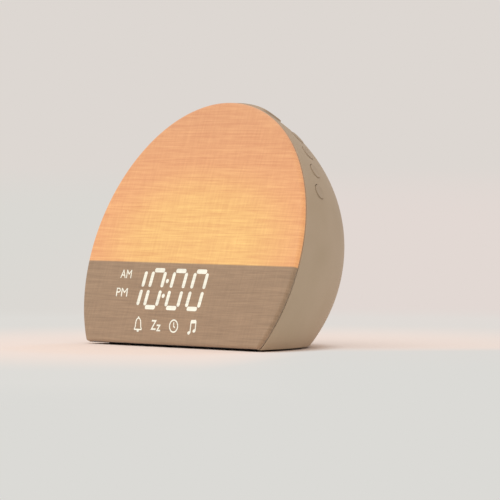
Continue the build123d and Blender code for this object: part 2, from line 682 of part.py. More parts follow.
# Snooze pad, sprung by its switches, with a lip under the shell's wall along its rear edge
pad_crown = egg(-PAD_PROUD)
lip_crown = egg(lip_top)
lip_hollow = egg(lip_bottom)
pad_top = pad_plane.offset(2 * PAD_PROUD)
neck_end, neck_front, neck_rear = PAD_NECK
with BuildPart() as pad_neck:
    with BuildSketch(pad_top):
        with Locations((0, (neck_front - neck_rear) / 2)):
            RectangleRounded(PAD_LENGTH - 2 * neck_end, pad_width - neck_front - neck_rear, PAD_CORNER)
    extrude(amount=-PAD_LENGTH / 2)
    add(shell_core, mode=Mode.INTERSECT)
    add(lip_hollow, mode=Mode.SUBTRACT)
with BuildPart() as pad_lip:
    with BuildSketch(pad_top):
        with Locations((0, pad_width / 2)):
            Rectangle(PAD_LENGTH - 2 * PAD_LIP[0], 2 * PAD_LIP[1])
    extrude(amount=-PAD_LENGTH / 2)
    add(lip_crown, mode=Mode.INTERSECT)
    add(lip_hollow, mode=Mode.SUBTRACT)
with BuildPart() as snooze_pad:
    with BuildSketch(pad_top):
        RectangleRounded(PAD_LENGTH, pad_width, PAD_CORNER)
    extrude(amount=-PAD_LENGTH / 2)
    add(pad_crown, mode=Mode.INTERSECT)
    add(shell_hollow, mode=Mode.SUBTRACT)
    fillet(snooze_pad.faces().sort_by(SortBy.AREA)[-1].edges(), PAD_EDGE)
    add(pad_neck.part)
    add(pad_lip.part)
    with BuildSketch(pad_plane.offset(-lip_top)):
        with Locations(*pad_plunger_spots):
            Circle(PLUNGER_RADIUS)
    extrude(amount=lip_top - PAD_SWITCH_TOP - PLUNGER_LAP)
save(snooze_pad.part, "snooze_pad")

# Board under the snooze pad, with its two switches, on posts of the light box
with BuildPart() as pad_board:
    with BuildSketch(pad_plane.offset(pad_board_top)):
        with Locations((0, PAD_BOARD_Y)):
            Rectangle(pad_board_length, PAD_BOARD[1])
        with Locations(*pad_post_spots):
            Circle(SMALL_SCREW[2] + PASS_FIT, mode=Mode.SUBTRACT)
    extrude(amount=-BOARD)
save(pad_board.part, "pad_board")
with BuildPart() as pad_switches:
    with BuildSketch(pad_plane.offset(pad_board_top)):
        with Locations(*pad_plunger_spots):
            Rectangle(SWITCH[0], SWITCH[1])
    extrude(amount=SWITCH[2])
    with BuildSketch(pad_plane.offset(-PAD_SWITCH_TOP)):
        with Locations(*pad_plunger_spots):
            Circle(SWITCH_WELL[0])
    extrude(amount=-SWITCH_WELL[1], mode=Mode.SUBTRACT)
save(pad_switches.part, "pad_switches")
pad_seat = pad_plane.offset(pad_board_top)
save(screws([Plane(pad_seat.location * Pos(*spot)) for spot in pad_post_spots], SMALL_SCREW), "pad_board_screws")

# Round side buttons, and behind each row a curved carrier with a flexible circuit and switches
dish_radius, dish_depth = BUTTON_DISH
dish_ball = (dish_radius**2 + dish_depth**2) / (2 * dish_depth)
flex_far = POST_DEPTH - POST_RADIUS - FLEX_MARGIN
flex_outside = egg(flex_top)
carrier_inside = egg(carrier_back)
low_angle = first_angle - CARRIER_MARGIN
high_angle = button_angles[-1] + CARRIER_MARGIN
for side_name, side in sides.items():
    for number, angle in enumerate(button_angles, start=1):
        button_plane = arch_plane(side * angle, BUTTON_DEPTH)
        with BuildPart() as button:
            with BuildSketch(button_plane.offset(-lip_bottom)):
                Circle(BUTTON_RADIUS)
            extrude(amount=lip_bottom + BUTTON_PROUD)
            fillet(button.faces().sort_by(Axis(button_plane.origin, button_plane.z_dir))[-1].edges(), BUTTON_EDGE)
            with Locations(button_plane.offset(BUTTON_PROUD - dish_depth + dish_ball).location):
                Sphere(dish_ball, mode=Mode.SUBTRACT)
            with BuildSketch(button_plane.offset(-lip_bottom)):
                Circle(BUTTON_RADIUS + BUTTON_LIP)
            extrude(amount=FLANGE)
            with BuildSketch(button_plane.offset(-lip_bottom)):
                Circle(PLUNGER_RADIUS)
            extrude(amount=lip_bottom - SWITCH_TOP - PLUNGER_LAP)
        save(button.part, f"{side_name}_button_{number}")

    sector = wedge(side * low_angle, side * high_angle, CARRIER_NEAR, CARRIER_FAR)
    flex_sector = wedge(side * low_angle, side * high_angle, CARRIER_NEAR, flex_far)
    with BuildPart() as switches:
        for angle in button_angles:
            switch_plane = arch_plane(side * angle, BUTTON_DEPTH).offset(-SWITCH_TOP)
            with BuildSketch(switch_plane):
                Rectangle(SWITCH[0], SWITCH[1])
            extrude(amount=-SWITCH[2] - FLEX)
            with BuildSketch(switch_plane):
                Circle(SWITCH_WELL[0])
            extrude(amount=-SWITCH_WELL[1], mode=Mode.SUBTRACT)
        add(flex_outside, mode=Mode.SUBTRACT)
    save(switches.part, f"{side_name}_switches")
    with BuildPart() as flex:
        add(flex_sector)
        add(flex_outside, mode=Mode.INTERSECT)
        add(carrier_outside, mode=Mode.SUBTRACT)
    save(flex.part, f"{side_name}_flex")
    screw_seats = [Plane(origin=plane.origin, x_dir=plane.x_dir, z_dir=-plane.z_dir)
                   for plane in post_planes[side_name]]
    with BuildPart() as carrier:
        add(sector)
        add(carrier_outside, mode=Mode.INTERSECT)
        add(carrier_inside, mode=Mode.SUBTRACT)
        for seat in screw_seats:
            with BuildSketch(seat):
                Circle(SMALL_SCREW[2] + PASS_FIT)
            extrude(amount=-2 * CARRIER, mode=Mode.SUBTRACT)
            with BuildSketch(seat):
                Circle(SMALL_SCREW[0] + HEAD_FIT)
            extrude(amount=SMALL_SCREW[1], mode=Mode.SUBTRACT)
    save(carrier.part, f"{side_name}_carrier")
    save(screws(screw_seats, SMALL_SCREW), f"{side_name}_carrier_screws")

# Base plate with standoffs for the main board, and the resting pad that hides its screws
plate_body = egg_slice(WALL + BASE_FIT, BASE_FRONT, floor=FOOT_HEIGHT, ceiling=plate_top)
foot_room = egg_slice(FOOT_INSET - FOOT_FIT, FOOT_FRONT - FOOT_FIT, floor=0, ceiling=FOOT_HEIGHT + PAD_RECESS)
screw_head_z = FOOT_HEIGHT + PAD_RECESS + BIG_SCREW[1]
with BuildPart() as base_plate:
    add(plate_body)
    add(foot_room, mode=Mode.SUBTRACT)
    with BuildSketch(Plane.XY.offset(FOOT_HEIGHT)):
        with Locations(*base_screw_spots):
            Circle(BIG_SCREW[0] + HEAD_FIT)
    extrude(amount=screw_head_z - FOOT_HEIGHT, mode=Mode.SUBTRACT)
    with BuildSketch(Plane.XY.offset(FOOT_HEIGHT)):
        with Locations(*base_screw_spots):
            Circle(BIG_SCREW[2] + PASS_FIT)
    extrude(amount=BASE_PLATE, mode=Mode.SUBTRACT)
    with BuildSketch(Plane.XY.offset(plate_top)):
        with Locations(*standoff_spots):
            Circle(STANDOFF_RADIUS)
            Circle(SMALL_SCREW[2] + PILOT_FIT, mode=Mode.SUBTRACT)
    extrude(amount=BOARD_LIFT)
save(base_plate.part, "base_plate")
save(egg_slice(FOOT_INSET, FOOT_FRONT, floor=0, ceiling=FOOT_HEIGHT + PAD_RECESS), "base_pad")
base_seats = [Plane(origin=(x, y, screw_head_z), x_dir=(1, 0, 0), z_dir=(0, 0, -1)) for x, y in base_screw_spots]
save(screws(base_seats, BIG_SCREW), "base_screws")

# Main board with its parts
with BuildPart() as main_board:
    with BuildSketch(Plane.XY.offset(board_low)):
        with Locations((0, (board_front_y + board_rear_y) / 2)):
            RectangleRounded(2 * board_half, BOARD_DEPTH, STANDOFF_EDGE / 2)
        with Locations(*standoff_spots):
            Circle(SMALL_SCREW[2] + PASS_FIT, mode=Mode.SUBTRACT)
    extrude(amount=BOARD)
save(main_board.part, "main_board")
board_seats = [Plane.XY.offset(board_top).location * Pos(*spot) for spot in standoff_spots]
save(screws([Plane(seat) for seat in board_seats], SMALL_SCREW), "main_board_screws")
with BuildPart() as board_chips:
    for x, y, width, depth, height in CHIPS:
        with BuildSketch(Plane.XY.offset(board_top)):
            with Locations((x, board_front_y + STANDOFF_EDGE + y)):
                Rectangle(width, depth)
        extrude(amount=height)
save(board_chips.part, "board_chips")
cell_x, cell_y = CELL_AT
cup_radius, cup_height, cup_floor = CELL_CUP
cell_spot = (cell_x, board_front_y + STANDOFF_EDGE + cell_y)
with BuildPart() as cell_cup:
    with BuildSketch(Plane.XY.offset(board_top)):
        with Locations(cell_spot):
            Circle(cup_radius)
    extrude(amount=cup_height)
    with BuildSketch(Plane.XY.offset(board_top + cup_floor)):
        with Locations(cell_spot):
            Circle(CELL[0] + CELL_FIT)
    extrude(amount=cup_height, mode=Mode.SUBTRACT)
save(cell_cup.part, "cell_cup")
with BuildPart() as backup_cell:
    with BuildSketch(Plane.XY.offset(board_top + cup_floor)):
        with Locations(cell_spot):
            Circle(CELL[0])
    extrude(amount=CELL[1])
save(backup_cell.part, "backup_cell")

# Power socket on the main board, whose nose reaches into the well in the rear of the shell
with BuildPart() as power_socket:
    with BuildSketch(Plane.XY.offset(board_top)):
        with Locations((0, socket_back_y - SOCKET[1] / 2)):
            Rectangle(SOCKET[0], SOCKET[1])
    extrude(amount=SOCKET[2])
    with BuildSketch(rear_plane.offset(socket_back_y)):
        with Locations((0, socket_z)):
            Circle(NOSE_RADIUS)
    extrude(amount=well_floor_y - socket_back_y)
    with BuildSketch(rear_plane.offset(well_floor_y)):
        with Locations((0, socket_z)):
            Circle(SOCKET_BORE[0])
    extrude(amount=-SOCKET_BORE[1], mode=Mode.SUBTRACT)
save(power_socket.part, "power_socket")
with BuildPart() as socket_pin:
    with BuildSketch(rear_plane.offset(well_floor_y - SOCKET_BORE[1])):
        with Locations((0, socket_z)):
            Circle(SOCKET_PIN[0])
    extrude(amount=SOCKET_PIN[1])
save(socket_pin.part, "socket_pin")

# Speaker, clamped by four screws against a gasket on the shell's ring
ledge_depth, ledge_radius = SPEAKER_LEDGE
cone_rim, cone_inner, cap_radius, cone_depth = CONE
speaker_axis = Axis(speaker_plane.origin, rearwards)
basket_outline = [
    (0, SPEAKER_RING[0]),
    (0, SPEAKER_RADIUS),
    (-SPEAKER_FLANGE, SPEAKER_RADIUS),
    (-SPEAKER_FLANGE, SPEAKER_RING[1]),
    (-BASKET_DEPTH, BASKET_END),
    (-BASKET_DEPTH, cap_radius),
    (BASKET_WALL - BASKET_DEPTH, cap_radius),
    (BASKET_WALL - BASKET_DEPTH, BASKET_END - BASKET_WALL),
    (-ledge_depth - SPEAKER_FLANGE, ledge_radius),
    (-ledge_depth, ledge_radius),
    (-ledge_depth, SPEAKER_RING[0]),
]
cone_outline = [
    (-ledge_depth, cone_rim - BASKET_WALL * 1.6),
    (-ledge_depth, cone_rim - CONE_WALL),
    (CONE_WALL - ledge_depth, cone_rim - CONE_WALL),
    (CONE_WALL - ledge_depth, cone_inner),
    (-cone_depth, cap_radius),
    (-cone_depth + cap_radius / 3, 0),
    (-cone_depth + cap_radius / 3 - CONE_WALL, 0),
    (-cone_depth - CONE_WALL, cap_radius),
    (-ledge_depth, cone_inner - CONE_WALL),
]
for name, outline in (("speaker_basket", basket_outline), ("speaker_cone", cone_outline)):
    with BuildPart() as turned:
        with BuildSketch(speaker_plane):
            with BuildLine():
                Polyline(*outline, close=True)
            make_face()
        revolve(axis=speaker_axis)
        if name == "speaker_basket":
            with BuildSketch(rear_plane.offset(speaker_y)):
                with Locations(*speaker_spots):
                    Circle(SMALL_SCREW[2] + PASS_FIT)
            extrude(amount=-SPEAKER_FLANGE, mode=Mode.SUBTRACT)
    save(turned.part, name)
with BuildPart() as speaker_magnet:
    with BuildSketch(rear_plane.offset(speaker_y - BASKET_DEPTH)):
        with Locations((0, SPEAKER_Z)):
            Circle(MAGNET[0])
    extrude(amount=-MAGNET[1])
save(speaker_magnet.part, "speaker_magnet")
with BuildPart() as speaker_gasket:
    with BuildSketch(rear_plane.offset(speaker_y)):
        with Locations((0, SPEAKER_Z)):
            Circle(SPEAKER_RING[1])
            Circle(SPEAKER_RING[0], mode=Mode.SUBTRACT)
    extrude(amount=GASKET)
save(speaker_gasket.part, "speaker_gasket")
speaker_seats = [
    Plane(origin=(x, speaker_y - SPEAKER_FLANGE, z), x_dir=(1, 0, 0), z_dir=(0, -1, 0)) for x, z in speaker_spots
]
save(screws(speaker_seats, SMALL_SCREW), "speaker_screws")
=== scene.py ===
from math import cos, pi, radians, sin, tan

import bmesh
import bpy
from mathutils import Matrix, Vector


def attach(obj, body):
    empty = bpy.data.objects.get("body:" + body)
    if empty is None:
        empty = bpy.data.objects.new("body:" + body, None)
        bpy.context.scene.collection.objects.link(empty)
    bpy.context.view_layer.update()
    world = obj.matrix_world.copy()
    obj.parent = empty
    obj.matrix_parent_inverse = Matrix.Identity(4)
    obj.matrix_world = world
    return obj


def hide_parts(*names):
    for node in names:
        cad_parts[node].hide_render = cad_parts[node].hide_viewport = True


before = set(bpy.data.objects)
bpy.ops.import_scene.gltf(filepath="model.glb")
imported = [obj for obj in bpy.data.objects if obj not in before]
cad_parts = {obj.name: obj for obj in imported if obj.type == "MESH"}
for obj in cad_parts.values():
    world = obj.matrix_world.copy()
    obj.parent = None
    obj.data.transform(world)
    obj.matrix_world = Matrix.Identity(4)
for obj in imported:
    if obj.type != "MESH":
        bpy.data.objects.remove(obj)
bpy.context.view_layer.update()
scene = bpy.context.scene
scene.view_settings.view_transform = "Standard"

# Camera
# A long lens, a little above the table, ahead of the clock and to its right.
CAMERA_AT = (2.14948, -1.84731, 0.12155)
CAMERA_BACKWARD = (0.75548, -0.65470, 0.02492)
camera = bpy.data.objects.new("camera", bpy.data.cameras.new("camera"))
camera.data.sensor_width = 36
camera.data.lens = 383.39
camera.data.shift_x = 0.0002
camera.data.shift_y = 0.0003
camera.data.clip_end = 50
backward = Vector(CAMERA_BACKWARD).normalized()
rightward = Vector((0, 0, 1)).cross(backward).normalized()
camera_turn = Matrix((rightward, backward.cross(rightward), backward)).transposed().to_4x4()
camera.matrix_world = Matrix.Translation(CAMERA_AT) @ camera_turn
scene.collection.objects.link(camera)
scene.camera = camera


# Shell
# The egg-shaped housing behind the front, one moulding of taupe ABS, open at the front and underneath.
# Its tool was spark-eroded, so the skin is matt and very finely pitted, with no parting line in sight.
def linear(code):
    """Linear colour of an sRGB hex value."""
    parts = [int(code[place:place + 2], 16) / 255 for place in (1, 3, 5)]
    return (*(part / 12.92 if part <= 0.04045 else ((part + 0.055) / 1.055) ** 2.4 for part in parts), 1)


def finish_for(name, values):
    """A finish whose surface shader starts from these plain values."""
    finish = bpy.data.materials.new(name)
    finish.use_nodes = True
    for socket, value in values.items():
        finish.node_tree.nodes["Principled BSDF"].inputs[socket].default_value = value
    return finish


def add(finish, kind, settings=None, links=None):
    """One node of a finish, with its settings and what feeds it."""
    made = finish.node_tree.nodes.new("ShaderNode" + kind)
    for name, value in (settings or {}).items():
        if isinstance(name, str) and hasattr(made, name):
            setattr(made, name, value)
        else:
            made.inputs[name].default_value = value
    for name, socket in (links or {}).items():
        finish.node_tree.links.new(socket, made.inputs[name])
    return made


def connect(finish, links):
    """Feed the surface shader."""
    for name, socket in links.items():
        finish.node_tree.links.new(socket, finish.node_tree.nodes["Principled BSDF"].inputs[name])


TONE_DRIFT = 0.028                          # a moulding's tone drifts over about this length


def grained(name, pale, deep, grain, pitting, values):
    """A moulded, cast or coated skin: fine grain, and a slow drift between two close tones."""
    finish = finish_for(name, values)
    place = add(finish, "TexCoord").outputs["Object"]
    fine = add(finish, "TexNoise", {"Scale": 1 / grain, "Detail": 3, "Roughness": 0.6}, {"Vector": place})
    slow = add(finish, "TexNoise", {"Scale": 1 / TONE_DRIFT, "Detail": 2}, {"Vector": place})
    drift = add(finish, "MapRange", {"From Min": 0.35, "From Max": 0.65}, {"Value": slow.outputs["Fac"]})
    speck = add(finish, "MapRange", {"From Min": 0.3, "From Max": 0.7, "To Min": 0.95, "To Max": 1.04},
                {"Value": fine.outputs["Fac"]})
    tone = add(finish, "Mix", {"data_type": "RGBA", 6: linear(pale), 7: linear(deep)}, {0: drift.outputs[0]})
    spotted = add(finish, "VectorMath", {"operation": "SCALE"}, {0: tone.outputs[2], "Scale": speck.outputs[0]})
    plain = values["Roughness"]
    dull = add(finish, "MapRange", {"From Min": 0.3, "From Max": 0.7, "To Min": plain - 0.06, "To Max": plain + 0.06},
               {"Value": fine.outputs["Fac"]})
    pits = add(finish, "Bump", {"Strength": 0.5, "Distance": pitting}, {"Height": fine.outputs["Fac"]})
    connect(finish, {"Base Color": spotted.outputs[0], "Roughness": dull.outputs[0], "Normal": pits.outputs[0]})
    return finish


def dress(finish, *names):
    """Give a finish to carried-over parts."""
    for name in names:
        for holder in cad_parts[name].material_slots:
            holder.material = finish


# Spark-eroded ABS: pits of about 0.4 mm, no gloss, and almost no drift in colour.
shell_abs = grained("spark_eroded_abs_taupe", "#BFA88D", "#BAA387", 0.0004, 0.00002,
                    {"Roughness": 0.62, "IOR": 1.53, "Specular IOR Level": 0.4})
dress(shell_abs, "shell")

# Snooze pad and side buttons
# Loose caps of the same ABS in the same colour, moulded in a smoother tool so that a finger slides on them.
# Each sits in a hole of the shell with a narrow shadow gap, held from behind by its own lip.
# Both tones are set a shade darker than the shell's: painted shade, from the shadowed front wall of the pad.
shaded_cap_abs = grained("fine_moulded_abs_taupe_shaded", "#BAA389", "#B59E83", 0.0003, 0.00001,
                  {"Roughness": 0.52, "IOR": 1.53, "Specular IOR Level": 0.45})
dress(shaded_cap_abs, "snooze_pad", *(f"{side}_button_{number}" for side in ("right", "left") for number in (1, 2, 3, 4)))

# Cloth over the front
# A linen and cotton weave in taupe, 0.5 mm thick, glued over the whole leaning front and round its edge.
# The lamp shines through it above a straight bar inside, so the lower part stays plain cloth.
FRONT_LEAN = radians(17.67)
RIM_Y, RIM_Z = -0.038, 0.001                # the rim plane meets the shell's lower edge here
CLOTH_FACE = 0.0028                         # cloth ahead of the rim plane, and its rear edge at the seam
CLOTH_REAR = 0.0003
CLOTH_HALF = (0.084868, 0.086613)           # half width and half height of its oval
CLOTH_MIDDLE = 0.047817                     # the oval's middle up the front
CLOTH_FOOT = -0.000472                      # the straight lower edge, up the front
CLOTH_CORNER = 0.0012
CLOTH_EDGE = 0.0020
CLOTH_BENDS = 6                             # steps in each rounded corner or edge
CLOTH_POINTS = 200                          # points round the oval
CLOTH_THICKNESS = 0.0005
NEAR_FOOT = 0.0032                          # points of the oval this little above the foot would crowd its corner
REAR_UP = 0.00079                           # the rear edge sits a little higher and is a little smaller
REAR_SHARE = (0.99529, 0.99268)
TOUCHING = 0.00001
LAMP_FOOT = 0.0445                          # the lit part begins here, up the front
LAMP_BLUR = (0.0003, 0.0004)                # and fades in from a little under to a little over that
CLOTH_TAUPE = "#A98D72"
up_the_front = Vector((0, sin(FRONT_LEAN), cos(FRONT_LEAN)))
out_of_front = Vector((0, -cos(FRONT_LEAN), sin(FRONT_LEAN)))
front = (Matrix.Translation((0, RIM_Y, RIM_Z))
         @ Matrix((Vector((1, 0, 0)), up_the_front, out_of_front)).transposed().to_4x4())


def finished(shape, name, finish, body, smooth=True):
    """A finished piece: its shape in place, its finish, and the body that carries it."""
    data = bpy.data.meshes.new(name)
    for side in shape.faces:
        side.smooth = smooth and len(side.verts) < 20
    shape.to_mesh(data)
    shape.free()
    data.materials.append(finish)
    piece = bpy.data.objects.new(name, data)
    scene.collection.objects.link(piece)
    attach(piece, body)
    return piece


cloth_shape = bmesh.new()
bmesh.ops.create_circle(cloth_shape, cap_ends=True, segments=CLOTH_POINTS, radius=1)
bmesh.ops.transform(cloth_shape, verts=cloth_shape.verts[:],
                    matrix=Matrix.Translation((0, CLOTH_MIDDLE, CLOTH_FACE)) @ Matrix.Diagonal((*CLOTH_HALF, 1, 1)))
bmesh.ops.bisect_plane(cloth_shape, geom=cloth_shape.verts[:] + cloth_shape.edges[:] + cloth_shape.faces[:],
                       plane_co=(0, CLOTH_FOOT, 0), plane_no=(0, -1, 0), clear_outer=True)
near_foot = [v for v in cloth_shape.verts if TOUCHING < v.co.y - CLOTH_FOOT < NEAR_FOOT]
bmesh.ops.dissolve_verts(cloth_shape, verts=near_foot)
foot_corners = [v for v in cloth_shape.verts if v.co.y - CLOTH_FOOT < TOUCHING]
bmesh.ops.bevel(cloth_shape, geom=foot_corners, offset=CLOTH_CORNER, segments=CLOTH_BENDS, profile=0.5,
                affect="VERTICES", material=-1)
rim = [e for e in cloth_shape.edges if e.is_boundary]
wrapped = bmesh.ops.extrude_edge_only(cloth_shape, edges=rim)["geom"]
bmesh.ops.transform(cloth_shape, verts=[v for v in wrapped if isinstance(v, bmesh.types.BMVert)],
                    matrix=Matrix.Translation((0, REAR_UP, CLOTH_REAR - CLOTH_FACE))
                    @ Matrix.Diagonal((*REAR_SHARE, 1, 1)))
front_edge = [e for e in cloth_shape.edges if all(abs(v.co.z - CLOTH_FACE) < TOUCHING for v in e.verts)]
bmesh.ops.bevel(cloth_shape, geom=front_edge, offset=CLOTH_EDGE, segments=CLOTH_BENDS, profile=0.5,
                affect="EDGES", material=-1)
bmesh.ops.recalc_face_normals(cloth_shape, faces=cloth_shape.faces[:])
bmesh.ops.transform(cloth_shape, verts=cloth_shape.verts[:], matrix=front)

# Linen and cotton: threads of about 0.4 mm with thick and thin places along them, matt, with a little fuzz at the
# edges. The threads are drawn 0.8 mm apart, because finer ones would not show.
linen = finish_for("woven_linen_taupe", {"Roughness": 0.92, "IOR": 1.5, "Specular IOR Level": 0.2,
                                         "Sheen Weight": 0.25, "Sheen Roughness": 0.5, "Emission Strength": 1})
THREAD = 0.0008
WAVE = 0.314                                # a wave pattern of scale 1 repeats after this length, in metres
# Length, width and depth of the streaks: weft threads, which run across and are the thicker ones, slow bands of
# them, the thin warp threads, and slow bands of those.
STREAKS = ((0.022, 0.0009, 0.13), (0.060, 0.0028, 0.07), (0.0013, 0.012, 0.06), (0.006, 0.05, 0.02))


def on_front(finish, stretch=(1, 1, 1), start=(0, 0, 0)):
    """Places across, up and out of the front, in metres, stretched for one pattern."""
    place = add(finish, "TexCoord").outputs["Object"]
    flat = add(finish, "Mapping", {"Rotation": (FRONT_LEAN - pi / 2, 0, 0), "Location": front.inverted().translation},
               {"Vector": place})
    moved = add(finish, "VectorMath", {"operation": "SUBTRACT", 1: start}, {0: flat.outputs[0]})
    return add(finish, "VectorMath", {"operation": "MULTIPLY", 1: stretch}, {0: moved.outputs[0]}).outputs[0]


def weave(finish):
    """How light or dark the cloth is from thread to thread, about 1, and its relief."""
    tone = None
    for length, width, depth in STREAKS:
        streak = add(finish, "TexNoise", {"Scale": 1, "Detail": 2, "Roughness": 0.55},
                     {"Vector": on_front(finish, (1 / length, 1 / width, 0))})
        lighter = add(finish, "MapRange", {"From Min": 0.25, "From Max": 0.75, "To Min": 1 - depth,
                                           "To Max": 1 + depth}, {"Value": streak.outputs["Fac"]})
        tone = lighter if tone is None else add(finish, "Math", {"operation": "MULTIPLY"},
                                                {0: tone.outputs[0], 1: lighter.outputs[0]})
    threads = [add(finish, "TexWave", {"bands_direction": way, "Scale": WAVE / THREAD, "Distortion": 0.6,
                                       "Detail": 1}, {"Vector": on_front(finish)}) for way in ("X", "Y")]
    relief = add(finish, "Math", {"operation": "MULTIPLY"},
                 {0: threads[0].outputs["Fac"], 1: threads[1].outputs["Fac"]})
    # The hollows between crossing threads are a little darker: painted shade.
    shaded_hollows = add(finish, "MapRange", {"To Min": 0.96, "To Max": 1.05}, {"Value": relief.outputs[0]})
    tone = add(finish, "Math", {"operation": "MULTIPLY"}, {0: tone.outputs[0], 1: shaded_hollows.outputs[0]})
    return tone.outputs[0], relief.outputs[0]


thread_tone, thread_relief = weave(linen)
cloth_colour = add(linen, "VectorMath", {"operation": "SCALE", 0: linear(CLOTH_TAUPE)[:3]}, {"Scale": thread_tone})
threads_up = add(linen, "Bump", {"Strength": 0.35, "Distance": 0.0002}, {"Height": thread_relief})
# The glow: strongest low in the middle, over the row of lamps, and fading upwards and to the sides.
GLOW_MIDDLE = (0.003, 0.054, 0)
GLOW_HALF = (0.092, 0.050)                  # half width and half height
GLOW_TOP = (0.075, 0.125)                   # its colour changes to the upper one between these heights
hot_place = on_front(linen, (1 / GLOW_HALF[0], 1 / GLOW_HALF[1], 0), GLOW_MIDDLE)
hot = add(linen, "TexGradient", {"gradient_type": "SPHERICAL"}, {"Vector": hot_place})
hot_soft = add(linen, "MapRange", {"interpolation_type": "SMOOTHSTEP", "From Max": 0.6},
               {"Value": hot.outputs["Fac"]})
height = add(linen, "SeparateXYZ", {}, {0: on_front(linen)})
high = add(linen, "MapRange", {"From Min": GLOW_TOP[0], "From Max": GLOW_TOP[1]}, {"Value": height.outputs["Y"]})
side_glow = add(linen, "Mix", {"data_type": "RGBA", 6: linear("#BF7736"), 7: linear("#AF6935")},
                {0: high.outputs[0]})
glow = add(linen, "Mix", {"data_type": "RGBA", 7: linear("#C7943C")},
           {0: hot_soft.outputs[0], 6: side_glow.outputs[2]})
above_bar = add(linen, "MapRange", {"From Min": LAMP_FOOT - LAMP_BLUR[0], "From Max": LAMP_FOOT + LAMP_BLUR[1]},
                {"Value": height.outputs["Y"]})
on_face = add(linen, "MapRange", {"From Min": -0.0002, "From Max": 0.0010}, {"Value": height.outputs["Z"]})
lit = add(linen, "Math", {"operation": "MULTIPLY"}, {0: above_bar.outputs[0], 1: on_face.outputs[0]})
# Thick places let less of the light through, and what passes is redder.
reddened = add(linen, "VectorMath", {"operation": "MULTIPLY_ADD", 1: (0.35, 1.3, 1.2), 2: (0.65, -0.3, -0.2)},
               {0: thread_tone})
passed = add(linen, "VectorMath", {"operation": "MULTIPLY"}, {0: glow.outputs[2], 1: reddened.outputs[0]})
shining = add(linen, "VectorMath", {"operation": "SCALE"}, {0: passed.outputs[0], "Scale": lit.outputs[0]})
connect(linen, {"Base Color": cloth_colour.outputs[0], "Normal": threads_up.outputs[0],
                "Emission Color": shining.outputs[0]})
front_cloth = finished(cloth_shape, "front_cloth", linen, "case")
thickness = front_cloth.modifiers.new("thickness", "SOLIDIFY")
thickness.thickness = CLOTH_THICKNESS
thickness.offset = -1
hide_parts("front_fabric")

# Lit display
# Light from the display's inserts, which shows as bright shapes on the threads of the cloth in front of them.
# Digits are bars with round ends; the letters and the four small signs come through the display's own mask.
SIGN_FACE = 0.00281
SIGN_THICK = 0.00003
DIGIT_CENTRES = (-0.0385, -0.0228, -0.0053, 0.0116)
DIGIT_LOW, DIGIT_HIGH = 0.0198, 0.0403
DIGIT_WIDTH = 0.0099
BAR = 0.0024
BAR_GAP = 0.00085
BAR_ROUND = 0.45 * BAR                      # radius of a bar's round ends
COLON_AT, COLON_UP, COLON_RADIUS = -0.0145, (0.0263, 0.0345), 0.0012
DIGIT_LEAN = radians(3)
SLANT = tan(DIGIT_LEAN)
ROUND_POINTS = 20                           # points round a dot

# Light through linen: cream white, a little uneven from thread to thread.
lit_linen = finish_for("light_through_linen", {"Roughness": 0.92, "IOR": 1.5, "Specular IOR Level": 0.2,
                                               "Emission Strength": 1})
sign_tone, sign_relief = weave(lit_linen)
sign_colour = add(lit_linen, "VectorMath", {"operation": "SCALE", 0: linear(CLOTH_TAUPE)[:3]}, {"Scale": sign_tone})
sign_light = add(lit_linen, "VectorMath", {"operation": "SCALE", 0: linear("#CBD8D0")[:3]}, {"Scale": sign_tone})
connect(lit_linen, {"Base Color": sign_colour.outputs[0], "Emission Color": sign_light.outputs[0]})


def bar(shape, across, up, length, turn):
    """One bar with round ends."""
    made = bmesh.ops.create_cube(shape, size=1)["verts"]
    place = (Matrix.Translation((across, up, SIGN_FACE)) @ Matrix.Rotation(turn, 4, "Z")
             @ Matrix.Diagonal((length, BAR, SIGN_THICK, 1)))
    bmesh.ops.transform(shape, verts=made, matrix=place)
    ends = [e for e in {e for v in made for e in v.link_edges}
            if abs((e.verts[0].co - e.verts[1].co).z) > SIGN_THICK / 2]
    bmesh.ops.bevel(shape, geom=ends, offset=BAR_ROUND, segments=5, profile=0.5, affect="EDGES", material=-1)


digits = bmesh.new()
middle = (DIGIT_LOW + DIGIT_HIGH) / 2
quarter = (DIGIT_HIGH - DIGIT_LOW) / 4
for digit, centre in enumerate(DIGIT_CENTRES):
    for side in ((1,) if digit == 0 else (-1, 1)):
        for half in (-1, 1):
            bar(digits, centre + side * DIGIT_WIDTH / 2 + half * quarter * SLANT, middle + half * quarter,
                2 * quarter - 2 * BAR_GAP, pi / 2 - DIGIT_LEAN)
    for row in (() if digit == 0 else (-2, 2)):
        bar(digits, centre + row * quarter * SLANT, middle + row * quarter, DIGIT_WIDTH - 2 * BAR_GAP, 0)
for up in COLON_UP:
    bmesh.ops.create_circle(digits, cap_ends=True, segments=ROUND_POINTS, radius=COLON_RADIUS,
                            matrix=Matrix.Translation((COLON_AT + (up - middle) * SLANT, up, SIGN_FACE)))
bmesh.ops.transform(digits, verts=digits.verts[:], matrix=front)
lit_digits = finished(digits, "lit_digits", lit_linen, "case", smooth=False)


LETTER_DEPTH = 0.01                         # a letter's half thickness before it is flattened


